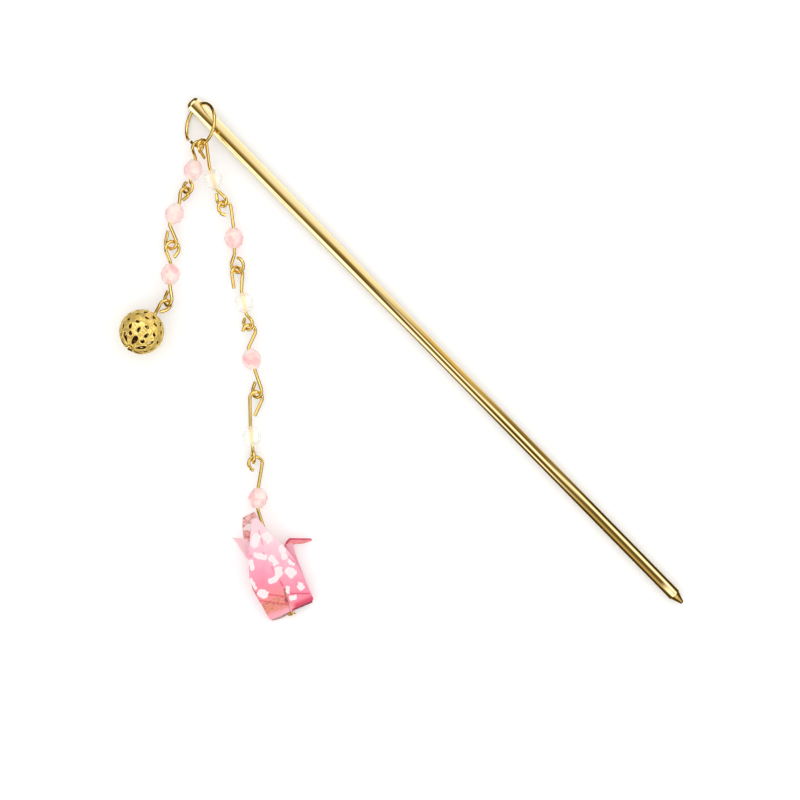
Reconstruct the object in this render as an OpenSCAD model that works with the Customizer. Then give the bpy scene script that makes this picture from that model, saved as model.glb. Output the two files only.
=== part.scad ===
// Kanzashi: a tapered metal hair stick with a split ring through its head, and two strands of
// looped wires and beads on the ring. One strand ends in a pierced ball, the other in a folded
// paper crane. It lies on a table: the stick along X, its point at +X, the strands at -Y.

/* [Hair stick] */
// Length from the rounded head to the point
stick_l = 125; // [110:1:180]
// Diameter at the head
stick_head_d = 2.6; // [2.5:0.1:3]
// Diameter from mid-length to the point
stick_d = 2.2; // [2:0.1:2.4]
// Length of the pointed end
point_l = 2; // [1:0.5:4]
// Diameter of the hole through the head
head_hole_d = 1.6; // [1.5:0.05:1.7]

/* [Split ring] */
// Radius of the ring to the middle of its wire
ring_r = 3.85; // [3.8:0.05:3.9]
// Diameter of the ring's wire
ring_wire_d = 0.6; // [0.5:0.05:0.65]

/* [Strands] */
// Diameter of the beads' wires
wire_d = 0.6; // [0.4:0.05:0.6]
// Diameter of a faceted bead
bead_d = 3.5; // [3:0.1:3.6]
// Length of a faceted bead along its hole
bead_l = 3.6; // [3:0.1:3.7]
// Diameter of the pierced ball
ball_d = 8; // [7.6:0.1:8]
// Thickness of the pierced ball's wall
ball_wall = 0.4; // [0.3:0.1:0.6]

/* [Paper crane] */
// Side of the square sheet that the crane is folded from
paper_side = 37.5; // [36:0.5:38]
// Thickness of a wing, which is several layers of paper
wing_t = 0.35; // [0.3:0.05:0.5]
// Angle between the two raised wings
wing_spread = 12; // [10:1:14]

/* [Hidden] */

gold = [0.93, 0.75, 0.33];
pale_gold = [0.96, 0.84, 0.5];
pink = [0.97, 0.72, 0.75];
clear = [0.95, 0.93, 0.93];
washi = [0.96, 0.58, 0.7];

// The strands are charted on the table as they lie: across, down and up from the stick's head
// end, in mm. The stick leaves that point at this angle, and to_row turns the chart to the part's
// axes.
hang_angle = 45.6;
head_end = [-62.5, 26.2, 0];
stick_z = stick_head_d / 2;
function to_row(p) = head_end + [
    cos(hang_angle) * p.x + sin(hang_angle) * p.y,
    sin(hang_angle) * p.x - cos(hang_angle) * p.y,
    p.z
];
function unit(v) = v / norm(v);

// Hair stick: the hole lies across the head, tipped up from level
head_hole_x = 1.5;
head_hole_tip = 37;
taper_end_x = stick_l / 2;
head_round = 0.7;
point_d = 0.7;
point_chamfer = 0.15;

// Split ring: its centre on the chart, its tilt from level and the lean of its long axis
ring_centre = to_row([1.86, 4.3, 3.25]);
ring_tilt = 51.4;
ring_lean = 13.3;
ring_slit_at = 215;
ring_slit = 7;
ring_spring = 0.5;
ring_steps = 36;

// Eyes bent in the wires, one row each. Columns: the neck where the eye's bend starts, the eye's
// centre, its radius, its roll from flat on the table, the side it bends to, how far its curl
// goes past where a teardrop closes, its straight end, and how far that end is lifted.
NECK = 0;
EYE = 1;
RADIUS = 2;
ROLL = 3;
SIDE = 4;
CURL = 5;
BACK = 6;
LIFT = 7;
SHORT_TOP_EYES = [
    [[0.9, 10.3, 2.3], [1.3, 8.3, 3.4], 1.1, 40, 1, 0, 0.8, 0],
    [[-2, 18.1, 1.75], [-1.1, 16.4, 1.7], 1.05, 50, 1, 0, 0.8, 0],
    [[-3.6, 28.7, 1.75], [-3.3, 26.3, 1.7], 1.3, 30, 1, 0, 0.9, 0]
];
SHORT_LOW_EYES = [
    [[-0.1, 14.3, 1.8], [-0.5, 15.4, 1.7], 1.05, 40, 1, -15, 0, 0],
    [[-3.8, 22, 1.75], [-3.5, 25.2, 1.7], 1.1, 25, 1, 0, 1.9, 0],
    [[-3.7, 33, 1.75], [-4, 35.3, 1.6], 1.15, 55, 1, 0, 1, 0]
];
LONG_TOP_EYES = [
    [[3.3, 11.6, 2.6], [2.2, 8.1, 4.4], 1.05, 43, -1, 0, 2.1, 0],
    [[7.6, 22.5, 1.75], [6.05, 19.1, 1.8], 1.2, 25, -1, 55, 0, 0],
    [[9, 33.8, 1.75], [8.5, 30.5, 1.7], 1, 50, -1, -18, 2.7, 0.75],
    [[10.2, 44, 1.75], [10.4, 41, 1.7], 1.15, 20, -1, -17, 0, 0],
    [[10.6, 57.7, 1.75], [11.6, 52.9, 1.7], 1.15, 20, 1, 0, 2.9, 0],
    [[12, 68.7, 1.75], [11.5, 64.5, 1.7], 1.2, 10, -1, 54, 0, 0]
];
LONG_LOW_EYES = [
    [[4.5, 15.7, 1.9], [5.5, 17.7, 1.8], 1.1, 45, 1, 0, 1.1, 0],
    [[7.8, 27.3, 1.75], [8.3, 29.2, 1.7], 1.3, 35, -1, 30, 0, 0],
    [[9.9, 38, 1.75], [10.2, 39.6, 1.7], 1.1, 45, 1, 0, 0.4, 0],
    [[11.8, 49.1, 1.75], [11.8, 51.6, 1.7], 1.15, 45, 1, 0, 1.2, 0],
    [[11, 61.7, 1.75], [11.1, 63.2, 1.7], 1.1, 80, 1, 0, 0.25, 0]
];
BALL_EYE = [[-6.3, 37.8, 1.61], [-4.6, 36.4, 1.6], 1.1, 45, 1, 0, 1, 0];
eye_step = 22.5;
wire_sides = 8;

// Beads: where each sits between its pin's two necks
SHORT_BEAD_AT = [0.5, 0.5, 0.5];
LONG_BEAD_AT = [0.58, 0.4, 0.5, 0.38, 0.5, 0.5];
bead_hole_d = 0.9;
bead_sides = 8;
// Bead belts. Columns: place along the half length, radius as a share of the bead's
BELTS = [[-1, 0.42], [-0.55, 0.88], [0, 1], [0.55, 0.88], [1, 0.42]];

// Pierced ball: its centre on the chart, and the tilt of its pin from level
ball_centre = to_row([-8.6, 41.1, ball_d / 2]);
ball_tip = 31;
ball_hole_d = 1;
ball_window_d = 1.7;
ball_window_at = 28;
ball_window_turn = 15;

// Flat head of the ball's and the crane's pins, its short step out of the wire, and its gap
pin_head_d = 1.5;
pin_head_t = 0.3;
pin_head_step = 0.02;
pin_head_gap = 0.05;

// Paper crane: the side of the usual sheet, its tail-to-neck line and height, lying on its side. Points in its own plane are
// across from its middle and up from its bottom fold. The ratios follow from folding a square.
usual_side = 37.5;
crane_bottom = to_row([17.7, 90.9, 0]);
crane_turn = hang_angle + 22.6;
bottom_half = 0.0995 * paper_side;
peak_up = 0.2071 * paper_side;
far_wing_lean = 4;
bottom_fold_t = 1.2;
bottom_fold_up = 0.9;
limb_lift = 0.6;
limb_tip = 3.5;
// Outlines of the wings, folded a little unevenly by hand. Columns: up, left fold, right fold
NEAR_EDGES = [
    [0, -3.7, 4.1], [0.7, -3.9, 4.7], [3.5, -4.25, 4.65], [5.6, -4.35, 4.65], [8.6, -4.35, 4.35],
    [12, -3.15, 3.5], [14.4, -1.95, 2.3], [17.6, -0.2, 1.35], [18.3, 0.1, 1.05]
];
FAR_EDGES = [
    [0, -3.7, 3.7], [0.6, -3.95, 3.9], [6.6, -4.3, 4.5], [11.7, -2.55, 3.5], [15.8, -1.5, 2.5],
    [17.4, -0.9, 2.3], [18.8, -0.1, 2.2]
];
NECK_OUTLINE = [[0.3, 0.3], [3.7, 0], [4.6, 3], [4.7, 6], [4.7, 8], [5.1, 11], [5, 12.3], [3.4, 11.1], [3.4, 9.5]];
HEAD_OUTLINE = [[3.4, 11.1], [4.9, 12.3], [8.5, 10.7], [8.6, 10.2], [6.9, 10.3], [5.1, 10.9]];
TAIL_OUTLINE = [[-3.3, 0], [-0.3, 0.3], [-1.8, 11.4], [-2, 14.9], [-4.5, 16.4], [-3.3, 11.4]];
HUMP_OUTLINE = [[-bottom_half, 0], [bottom_half, 0], [0, peak_up]];

// The crane's pin runs straight from its bead, between the wings and out at the bottom fold
crane_bead_low = [11.9, 72.6, 1.75];
crane_pin_end = [17.9, 91.2, 0.9];
crane_hole_d = 0.9;

// A wire swept along a path, with a radius for each of the path's points
function headings(path) = let(
    last = len(path) - 1,
    runs = [for (i = [0:last - 1]) unit(path[i + 1] - path[i])]
) [for (i = [0:last]) unit(runs[max(i - 1, 0)] + runs[min(i, last - 1)])];
function square_to(v, heading) = unit(v - (v * heading) * heading);
function first_side(h) = square_to(abs(h.z) < 0.9 ? [0, 0, 1] : [1, 0, 0], h);
function sides_along(h, i, v) = i == len(h) ? [] : let(
    next = square_to(v, h[i])
) concat([next], sides_along(h, i + 1, next));

module wire(path, radii, sides) {
    h = headings(path);
    out = sides_along(h, 0, first_side(h[0]));
    last = len(path) - 1;
    points = [
        for (i = [0:last], k = [0:sides - 1])
            let(a = 360 * k / sides)
                path[i] + radii[i] * (cos(a) * out[i] + sin(a) * cross(h[i], out[i]))
    ];
    walls = [
        for (i = [0:last - 1], k = [0:sides - 1])
            let(a = i * sides + k, b = i * sides + (k + 1) % sides)
                each [[a, b + sides, b], [a, a + sides, b + sides]]
    ];
    ends = [
        [for (k = [0:sides - 1]) k],
        [for (k = [sides - 1:-1:0]) last * sides + k]
    ];
    polyhedron(points = points, faces = concat(walls, ends));
}

module even_wire(path, d, sides) {
    wire(path, [for (p = path) d / 2], sides);
}

// The path of one eye, from its neck round to the wire's end
function eye_path(e) = let(
    neck = to_row(e[NECK]),
    centre = to_row(e[EYE]),
    out = unit(centre - neck),
    flat = unit(cross([0, 0, 1], out)),
    side = e[SIDE] * (cos(e[ROLL]) * flat + sin(e[ROLL]) * cross(out, flat)),
    above = cross(out, side),
    r = e[RADIUS],
    touch = acos(r / norm(centre - neck)),
    turn = 360 - 2 * touch + e[CURL],
    steps = ceil(turn / eye_step),
    end = 180 - touch - turn,
    heading = sin(end) * out - cos(end) * side,
    arc = [
        for (i = [0:steps])
            let(a = 180 - touch - turn * i / steps)
                centre + r * (cos(a) * out + sin(a) * side) + above * e[LIFT] * i / steps
    ]
) concat([neck], arc, e[BACK] > 0 ? [arc[steps] + heading * e[BACK]] : []);

function reversed(path) = [for (i = [len(path) - 1:-1:0]) path[i]];

module eye_pin(top_eye, low_eye) {
    path = concat(reversed(eye_path(top_eye)), eye_path(low_eye));
    color(gold) even_wire(path, wire_d, wire_sides);
}

// Stands a child's +Z along a direction at a place
module along(place, direction) {
    d = unit(direction);
    translate(place) rotate([0, acos(d.z), atan2(d.y, d.x)]) children();
}

module faceted_bead(top, low, share, tint) {
    points = [
        for (j = [0:len(BELTS) - 1], k = [0:bead_sides - 1])
            let(a = 360 * (k + (j % 2) / 2) / bead_sides, r = BELTS[j][1] * bead_d / 2)
                [r * cos(a), r * sin(a), BELTS[j][0] * bead_l / 2]
    ];
    walls = [
        for (j = [0:len(BELTS) - 2], k = [0:bead_sides - 1])
            let(
                n = bead_sides,
                low = [j * n + k, j * n + (k + 1) % n],
                up = [(j + 1) * n + k, (j + 1) * n + (k + 1) % n],
                odd = j % 2
            )
                each [[low[1], low[0], up[odd]], [up[0], up[1], low[1 - odd]]]
    ];
    caps = [
        [for (k = [0:bead_sides - 1]) k],
        [for (k = [bead_sides - 1:-1:0]) (len(BELTS) - 1) * bead_sides + k]
    ];
    color(tint) along(top + share * (low - top), low - top) difference() {
        polyhedron(points = points, faces = concat(walls, caps));
        cylinder(d = bead_hole_d, h = 2 * bead_l, center = true, $fn = 24);
    }
}

module hair_stick() {
    r_head = stick_head_d / 2;
    r = stick_d / 2;
    color(gold) difference() {
        translate(head_end + [0, 0, stick_z]) rotate([0, 90, 0]) rotate_extrude($fn = 48) polygon([
            [0, 0], [r_head - head_round, 0],
            for (a = [15:15:75]) [r_head - head_round * (1 - sin(a)), head_round * (1 - cos(a))],
            [r_head, head_round], [r, taper_end_x], [r, stick_l - point_l],
            [point_d / 2, stick_l - point_chamfer], [point_d / 2 - point_chamfer, stick_l],
            [0, stick_l]
        ]);
        translate(head_end + [head_hole_x, 0, stick_z]) rotate([head_hole_tip - 90, 0, 0])
            cylinder(d = head_hole_d, h = 2 * stick_head_d, center = true, $fn = 32);
    }
}

module jump_ring() {
    across = to_row([1, 0, 0]) - to_row([0, 0, 0]);
    up = to_row([0, 0, 0]) - to_row([0, 1, 0]);
    normal = sin(ring_tilt) * (sin(ring_lean) * up - cos(ring_lean) * across) + [0, 0, cos(ring_tilt)];
    a_dir = square_to(across, normal);
    b_dir = cross(normal, a_dir);
    path = [
        for (i = [0:ring_steps])
            let(a = ring_slit_at + ring_slit / 2 + (360 - ring_slit) * i / ring_steps)
                ring_centre + ring_r * (cos(a) * a_dir + sin(a) * b_dir)
                    + normal * ring_spring * (i / ring_steps - 0.5)
    ];
    color(pale_gold) even_wire(path, ring_wire_d, 10);
}

module ball_frame() {
    along_pin = ball_centre - to_row([BALL_EYE[NECK].x, BALL_EYE[NECK].y, ball_d / 2]);
    translate(ball_centre) rotate([0, 0, atan2(along_pin.y, along_pin.x)])
        rotate([0, 90 - ball_tip, 0]) children();
}

module filigree_ball() {
    color(gold) ball_frame() difference() {
        sphere(d = ball_d, $fn = 48);
        sphere(d = ball_d - 2 * ball_wall, $fn = 48);
        cylinder(d = ball_hole_d, h = 2 * ball_d, center = true, $fn = 24);
        for (up = [-1, 1], a = [0:60:300])
            rotate([0, 90 - up * ball_window_at, a + up * ball_window_turn])
                cylinder(d = ball_window_d, h = ball_d, $fn = 24);
    }
}

// A pin with a flat head at its path's end
module head_pin(path) {
    last = len(path) - 1;
    tail = unit(path[last] - path[last - 1]);
    color(gold) wire(
        concat(path, [path[last] + pin_head_step * tail, path[last] + pin_head_t * tail]),
        concat([for (p = path) wire_d / 2], [pin_head_d / 2, pin_head_d / 2]),
        wire_sides
    );
}

module ball_pin() {
    through = unit(ball_centre - to_row(BALL_EYE[NECK]));
    far_side = ball_centre + through * (ball_d / 2 + pin_head_gap);
    head_pin(concat(reversed(eye_path(BALL_EYE)), [far_side]));
}

module crane_frame() {
    translate(crane_bottom) rotate([0, 0, crane_turn]) children();
}

module limb(outline) {
    translate([0, 0, limb_lift]) rotate([limb_tip, 0, 0]) linear_extrude(wing_t) polygon(outline);
}

// A wing from the rows of its outline, which are for a sheet of the usual side
module wing(edges) {
    left = [for (e = edges) [e.y, e.x]];
    right = [for (e = edges) [e.z, e.x]];
    linear_extrude(wing_t) polygon(concat(right, reversed(left)) * paper_side / usual_side);
}

module paper_crane() {
    top = to_row(crane_bead_low);
    end = to_row(crane_pin_end);
    color(washi) difference() {
        crane_frame() union() {
            rotate([0, 0, far_wing_lean]) wing(FAR_EDGES);
            translate([0, 0, bottom_fold_t]) rotate([wing_spread, 0, 0]) wing(NEAR_EDGES);
            linear_extrude(bottom_fold_t + wing_t) polygon([
                [-bottom_half, 0], [bottom_half, 0],
                [bottom_half, bottom_fold_up], [-bottom_half, bottom_fold_up]
            ]);
            limb(NECK_OUTLINE);
            limb(HEAD_OUTLINE);
            limb(TAIL_OUTLINE);
            limb(HUMP_OUTLINE);
        }
        along(top, end - top) cylinder(d = crane_hole_d, h = 2 * norm(end - top), $fn = 24);
    }
}

module crane_pin() {
    below = [to_row(crane_bead_low), to_row(crane_pin_end)];
    head_pin(concat(reversed(eye_path(LONG_TOP_EYES[5])), below));
}

module short_pin(i) {
    eye_pin(SHORT_TOP_EYES[i], SHORT_LOW_EYES[i]);
}

module long_pin(i) {
    eye_pin(LONG_TOP_EYES[i], LONG_LOW_EYES[i]);
}

module short_bead(i) {
    top = to_row(SHORT_TOP_EYES[i][NECK]);
    faceted_bead(top, to_row(SHORT_LOW_EYES[i][NECK]), SHORT_BEAD_AT[i], pink);
}

// The long strand's beads are clear and pink by turns, and its last is on the crane's pin
module long_bead(i) {
    top = to_row(LONG_TOP_EYES[i][NECK]);
    low = to_row(i < len(LONG_LOW_EYES) ? LONG_LOW_EYES[i][NECK] : crane_bead_low);
    faceted_bead(top, low, LONG_BEAD_AT[i], i % 2 == 0 ? clear : pink);
}

hair_stick();
jump_ring();
ball_pin();
filigree_ball();
crane_pin();
paper_crane();
for (i = [0:len(SHORT_TOP_EYES) - 1]) {
    short_pin(i);
    short_bead(i);
}
for (i = [0:len(LONG_LOW_EYES) - 1]) {
    long_pin(i);
}
for (i = [0:len(LONG_TOP_EYES) - 1]) {
    long_bead(i);
}
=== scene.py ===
import math

import bmesh
import bpy
import numpy as np
from mathutils import Matrix, Vector


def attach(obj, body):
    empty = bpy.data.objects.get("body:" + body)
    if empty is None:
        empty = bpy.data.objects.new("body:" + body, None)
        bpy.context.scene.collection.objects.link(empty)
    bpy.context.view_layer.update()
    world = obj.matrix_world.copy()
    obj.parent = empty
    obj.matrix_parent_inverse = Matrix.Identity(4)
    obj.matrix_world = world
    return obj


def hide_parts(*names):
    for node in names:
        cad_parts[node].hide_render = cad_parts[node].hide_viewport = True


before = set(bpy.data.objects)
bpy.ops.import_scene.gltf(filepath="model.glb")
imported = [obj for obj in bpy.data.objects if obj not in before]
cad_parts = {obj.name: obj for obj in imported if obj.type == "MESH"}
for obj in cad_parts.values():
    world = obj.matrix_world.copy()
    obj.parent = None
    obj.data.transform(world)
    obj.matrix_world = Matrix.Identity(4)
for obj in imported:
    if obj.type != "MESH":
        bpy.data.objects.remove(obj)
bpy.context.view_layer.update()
MM = 0.001

# The table is a sheet of smooth white board, which glows a little, as on a light box. The photograph
# looks straight down on it through a long lens, with the stick from upper left to lower right.
HANG_ANGLE = math.radians(45.6)
HEAD_END = Vector((-62.5, 26.2, 0))
VIEW_CENTRE = (1.54, 15.56)
VIEW_HEIGHT = 792
BOARD_SIDE = 4000


class Tone:
    """One output in a material's nodes. Sums on it add Math nodes, and node() adds any other."""

    def __init__(self, tree, socket=None):
        self.tree = tree
        self.socket = socket

    def node(self, kind, settings, sockets, out=0):
        made = self.tree.nodes.new("ShaderNode" + kind)
        for name, value in settings.items():
            if name == "stops":
                ramp = made.color_ramp.elements
                while len(ramp) < len(value):
                    ramp.new(1)
                for stop, (place, colour) in zip(ramp, value):
                    stop.position = place
                    stop.color = (*colour[:3], 1)
            else:
                setattr(made, name, value)
        for name, value in sockets.items():
            if isinstance(value, Tone):
                self.tree.links.new(value.socket, made.inputs[name])
            else:
                made.inputs[name].default_value = value
        return Tone(self.tree, made.outputs[out])

    def place(self):
        """Where each point of the piece is."""
        return self.node("TexCoord", {}, {}, out="Object")

    def math(self, operation, *values):
        return self.node("Math", {"operation": operation}, dict(enumerate(values)))

    def mix(self, share, first, second):
        sockets = {"Factor": share, 6: first, 7: second}
        return self.node("Mix", {"data_type": "RGBA"}, sockets, out=2)

    def __add__(self, other):
        return self.math("ADD", self, other)

    def __sub__(self, other):
        return self.math("SUBTRACT", self, other)

    def __rsub__(self, other):
        return self.math("SUBTRACT", other, self)

    def __mul__(self, other):
        return self.math("MULTIPLY", self, other)

    __radd__ = __add__
    __rmul__ = __mul__


def paint(name, same, varied):
    """A material: the shader's sockets that are the same all over, and those that nodes feed."""
    material = bpy.data.materials.new(name)
    material.use_nodes = True
    tree = material.node_tree
    shader = tree.nodes["Principled BSDF"]
    for socket, value in same.items():
        shader.inputs[socket].default_value = value
    for socket, tone in varied(Tone(tree)).items():
        tree.links.new(tone.socket, shader.inputs[socket])
    return material


def shape(name, points, faces, materials):
    """A mesh object from points in mm."""
    mesh = bpy.data.meshes.new(name)
    mesh.from_pydata([Vector(p) * MM for p in points], [], faces)
    mesh.validate()
    for material in materials:
        mesh.materials.append(material)
    made = bpy.data.objects.new(name, mesh)
    bpy.context.scene.collection.objects.link(made)
    return made


def lathe(profile, sides):
    """Points and faces turned about X. The profile's rows are (along, radius)."""
    points, faces = [], []
    for along, radius in profile:
        for k in range(sides):
            a = 2 * math.pi * k / sides
            points.append((along, radius * math.cos(a), radius * math.sin(a)))
    for i in range(len(profile) - 1):
        for k in range(sides):
            a, b = i * sides + k, i * sides + (k + 1) % sides
            faces.append((a, a + sides, b + sides, b))
    faces += [range(sides), range(len(points) - sides, len(points))[::-1]]
    return points, faces


def noise(place, scale, detail, out=0, **more):
    """Random patches, which are 1 / scale across."""
    sockets = {"Vector": place, "Scale": scale, "Detail": detail, **more}
    return place.node("TexNoise", {}, sockets, out)


def board(tone):
    cloud = noise(tone.place(), 30, 4)
    return {"Base Color": tone.mix(cloud, (0.93, 0.93, 0.93, 1), (0.96, 0.96, 0.96, 1))}


half = BOARD_SIDE / 2
table = shape(
    "table",
    [(-half, -half, 0), (half, -half, 0), (half, half, 0), (-half, half, 0)],
    [(0, 1, 2, 3)],
    [paint("white_board", {"Roughness": 0.7, "Specular IOR Level": 0.1, "Emission Strength": 0.1}, board)],
)

camera = bpy.data.objects.new("camera", bpy.data.cameras.new("camera"))
camera.data.lens = 200
camera.data.sensor_width = 36
camera.data.clip_start = 0.01
camera.location = Vector((*VIEW_CENTRE, VIEW_HEIGHT)) * MM
camera.rotation_euler = (0, 0, HANG_ANGLE)
bpy.context.scene.collection.objects.link(camera)
bpy.context.scene.camera = camera
bpy.context.scene.view_settings.view_transform = "Standard"

# The room is white and evenly lit. Round the part hangs a ball of cloth that shows only in
# reflections, where the table doesn't show. It runs from shade to bright panels, which give the
# lines of light along the stick.
TENT_R = 650
TENT_STEPS = 48
TENT_LIGHT = 2.1
ROOM_LIGHT = 1.1
BRIGHTEST = 2
SHADE_UNDER = 0.7
SHADE_TINT = (1.2, 0.9, 0.4)
FOLD_SHADE = (0.06, 0.04, 0.01, 1)
# How bright the cloth is round the stick, at five places from its head to its point. Columns:
# degrees round the stick from straight above, more towards the strands, and how bright
OVER_HEAD = [
    (-180, 1.2), (-113, 1.1), (-60, 0.95), (-30, 0.92), (-14, 0.75), (0, 0.5), (16, 0.24), (30, 0.13),
    (46, 0.13), (56, 0.2), (64, 1.1), (74, 2), (100, 2), (130, 1), (180, 0.5),
]
OVER_NECK = [
    (-180, 1), (-110, 1), (-60, 0.95), (-36, 0.9), (-26, 0.62), (-15, 0.35), (0, 0.17), (14, 0.11),
    (38, 0.1), (48, 0.25), (58, 1.1), (70, 2), (96, 2), (115, 0.9), (140, 0.3), (180, 0.3),
]
OVER_MIDDLE = [
    (-180, 0.9), (-118, 0.95), (-95, 0.65), (-70, 0.52), (-50, 0.68), (-40, 0.2), (-28, 0.14), (-18, 0.2),
    (-7, 1.3), (4, 1.3), (14, 0.35), (25, 0.09), (40, 0.09), (52, 0.4), (62, 1.3), (90, 1.6), (102, 0.8),
    (116, 0.15), (140, 0.1), (180, 0.3),
]
OVER_THIRD = [
    (-180, 0.6), (-135, 0.5), (-110, 0.28), (-90, 0.18), (-50, 0.13), (-40, 0.35), (-30, 1.5), (-8, 1.5),
    (1, 0.6), (10, 0.12), (18, 0.07), (44, 0.07), (54, 0.4), (62, 1.3), (78, 1.4), (86, 0.5), (94, 0.12),
    (120, 0.05), (150, 0.05), (180, 0.3),
]
OVER_POINT = [
    (-180, 0.4), (-150, 0.2), (-118, 0.02), (-94, 0.02), (-80, 0.12), (-68, 0.6), (-58, 1.6), (-34, 1.6),
    (-25, 0.6), (-14, 0.12), (10, 0.09), (24, 0.14), (38, 0.26), (50, 0.5), (62, 0.52), (74, 0.28),
    (88, 0.08), (105, 0.02), (130, 0.04), (180, 0.5),
]
# Where each gives way to the next one. Columns: from, to, the next one
CHANGES = [(-73, -36, OVER_NECK), (-30, 0, OVER_MIDDLE), (6, 36, OVER_THIRD), (44, 72, OVER_POINT)]
# How bright the cloth is past both ends of the stick, by height in degrees, and where that begins
AROUND = [
    (-90, 0.9), (-42, 0.7), (-26, 0.04), (12, 0.04), (24, 0.6), (36, 0.8), (39, 2), (52, 2),
    (56, 1.4), (90, 1.6),
]
AROUND_FROM = (160, 200)


def glow(tone, share, rows):
    """The cloth's brightness at a share of the way from the first row's angle to the last one's."""
    low, high = rows[0][0], rows[-1][0]
    stops = []
    for angle, bright in rows:
        tint = SHADE_TINT if bright < SHADE_UNDER else (1, 1, 1)
        stops.append(((angle - low) / (high - low), [bright / BRIGHTEST * c for c in tint]))
    return tone.node("ValToRGB", {"stops": stops}, {"Fac": share})


def past(value, start, end, kind="LINEAR"):
    """From 0 where the value is at start to 1 where it is at end."""
    return value.node("MapRange", {"interpolation_type": kind}, {0: value, 1: start, 2: end})


def tent_cloth():
    material = bpy.data.materials.new("tent_cloth")
    material.use_nodes = True
    tree = material.node_tree
    tree.nodes.clear()
    tone = Tone(tree)
    place = tone.node("NewGeometry", {}, {})
    x, y, z = (tone.node("SeparateXYZ", {}, {0: place}, out=k) for k in range(3))
    tilt = tone.math("ARCTAN2", HEAD_END.y * MM - y, z) * (0.5 / math.pi) + 0.5
    height = tone.math("ARCSINE", z * (1 / (TENT_R * MM))) * (1 / math.pi) + 0.5
    cloth = glow(tone, tilt, OVER_HEAD)
    for start, end, rows in CHANGES:
        share = past(x, start * MM, end * MM, "SMOOTHSTEP")
        cloth = tone.mix(share, cloth, glow(tone, tilt, rows))
    around = tone.mix(past(noise(place, 6, 1), 0.36, 0.44), FOLD_SHADE, glow(tone, height, AROUND))
    start, end = AROUND_FROM
    share = past(tone.math("ABSOLUTE", x), start * MM, end * MM, "SMOOTHSTEP")
    cloth = tone.mix(share, cloth, around)
    light = tone.node("Emission", {}, {"Color": cloth, "Strength": TENT_LIGHT})
    tree.links.new(light.socket, tree.nodes.new("ShaderNodeOutputMaterial").inputs["Surface"])
    material.cycles.emission_sampling = "NONE"
    return material


rises = [math.pi * (j / TENT_STEPS - 0.5) for j in range(TENT_STEPS + 1)]
points, faces = lathe([(math.sin(rise), math.cos(rise)) for rise in rises], TENT_STEPS)
points = [TENT_R * Vector((x, y, z)) for z, x, y in points]
# The two ends are left out, because they have no width
tent = shape("tent", points, faces[:-2], [tent_cloth()])
for rays in ("camera", "diffuse", "transmission", "shadow"):
    setattr(tent, "visible_" + rays, False)
table.visible_glossy = False

world = bpy.data.worlds.new("room")
world.use_nodes = True
air = world.node_tree.nodes["Background"].inputs
air["Color"].default_value = (1, 1, 1, 1)
air["Strength"].default_value = ROOM_LIGHT
bpy.context.scene.world = world

# The hair stick is one drawn steel pin, plated with gold and polished. It tapers over its first
# half, has a rounded head with a hole drilled across it, and a short blunt point.
STICK_L = 125
STICK_HEAD_D = 2.6
STICK_D = 2.2
POINT_L = 2
HEAD_HOLE_D = 1.6
HEAD_HOLE_X = 1.5
HEAD_HOLE_TIP = math.radians(37)
HEAD_ROUND = 0.7
HEAD_INSET = 0.25
HOLE_FLARE = 0.1
HOLE_FLARE_DEEP = 0.22
# How far the drill goes from the stick's middle, and its radius there
DRILL_END = (3, 1.2)
# Where the stick's outline has its rows: closely by the hole, then along the taper and the shaft
HOLE_ROWS = [HEAD_ROUND + 0.15 * i for i in range(18)]
TAPER_ROWS = [4, 5, 7, 10, 15, 22, 30, 40, 50, STICK_L / 2]
SHAFT_ROWS = [80, 100, 115]
# The outline of the blunt point. Columns: how far from the stick's end, radius
POINT_ROWS = [
    (POINT_L + 0.12, STICK_D / 2), (POINT_L, STICK_D / 2 - 0.02), (POINT_L - 0.1, STICK_D / 2 - 0.09),
    (0.15, 0.35), (0.03, 0.25), (0, 0.2),
]


def finished(piece, node, sharp=35):
    """Shades a piece, and hands it to the frame in place of its node."""
    piece.data.shade_smooth()
    piece.data.set_sharp_from_angle(angle=math.radians(sharp))
    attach(piece, "root")
    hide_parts(node)


def placed(spot, *turns):
    """A move to a spot after turns about axes, the last of them first."""
    place = Matrix.Translation(spot)
    for angle, axis in turns:
        place = place @ Matrix.Rotation(angle, 4, axis)
    return place


def worked(piece, kind, **settings):
    """Puts a modifier on a piece and makes it final."""
    modifier = piece.modifiers.new(kind, kind)
    for name, value in settings.items():
        setattr(modifier, name, value)
    graph = bpy.context.evaluated_depsgraph_get()
    whole = piece.evaluated_get(graph)
    mesh = bpy.data.meshes.new_from_object(whole, preserve_all_data_layers=True, depsgraph=graph)
    piece.modifiers.clear()
    piece.data = mesh


def bump(height, strength, depth):
    """A relief that follows a pattern, with its depth in mm."""
    return height.node("Bump", {}, {"Strength": strength, "Distance": depth * MM, "Height": height})


def plating(light, deep, drawn, cloud_size, rough):
    """Gold plate: tint drifts from light to deep, and fine polishing lines run along `drawn`."""
    def recipe(tone):
        place = tone.place()
        cloud = noise(place, 1 / (cloud_size * MM), 2)
        lines = tone.node("Mapping", {}, {"Vector": place, "Scale": drawn})
        lines = noise(lines, 1, 4)
        pit = tone.math("LESS_THAN", tone.node("TexVoronoi", {}, {"Vector": place, "Scale": 500}), 0.055)
        return {
            "Base Color": tone.mix(cloud, light, deep),
            "Roughness": rough + 0.03 * cloud + 0.4 * pit,
            "Normal": bump(lines - pit, 0.06, 0.01),
        }
    return recipe


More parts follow.
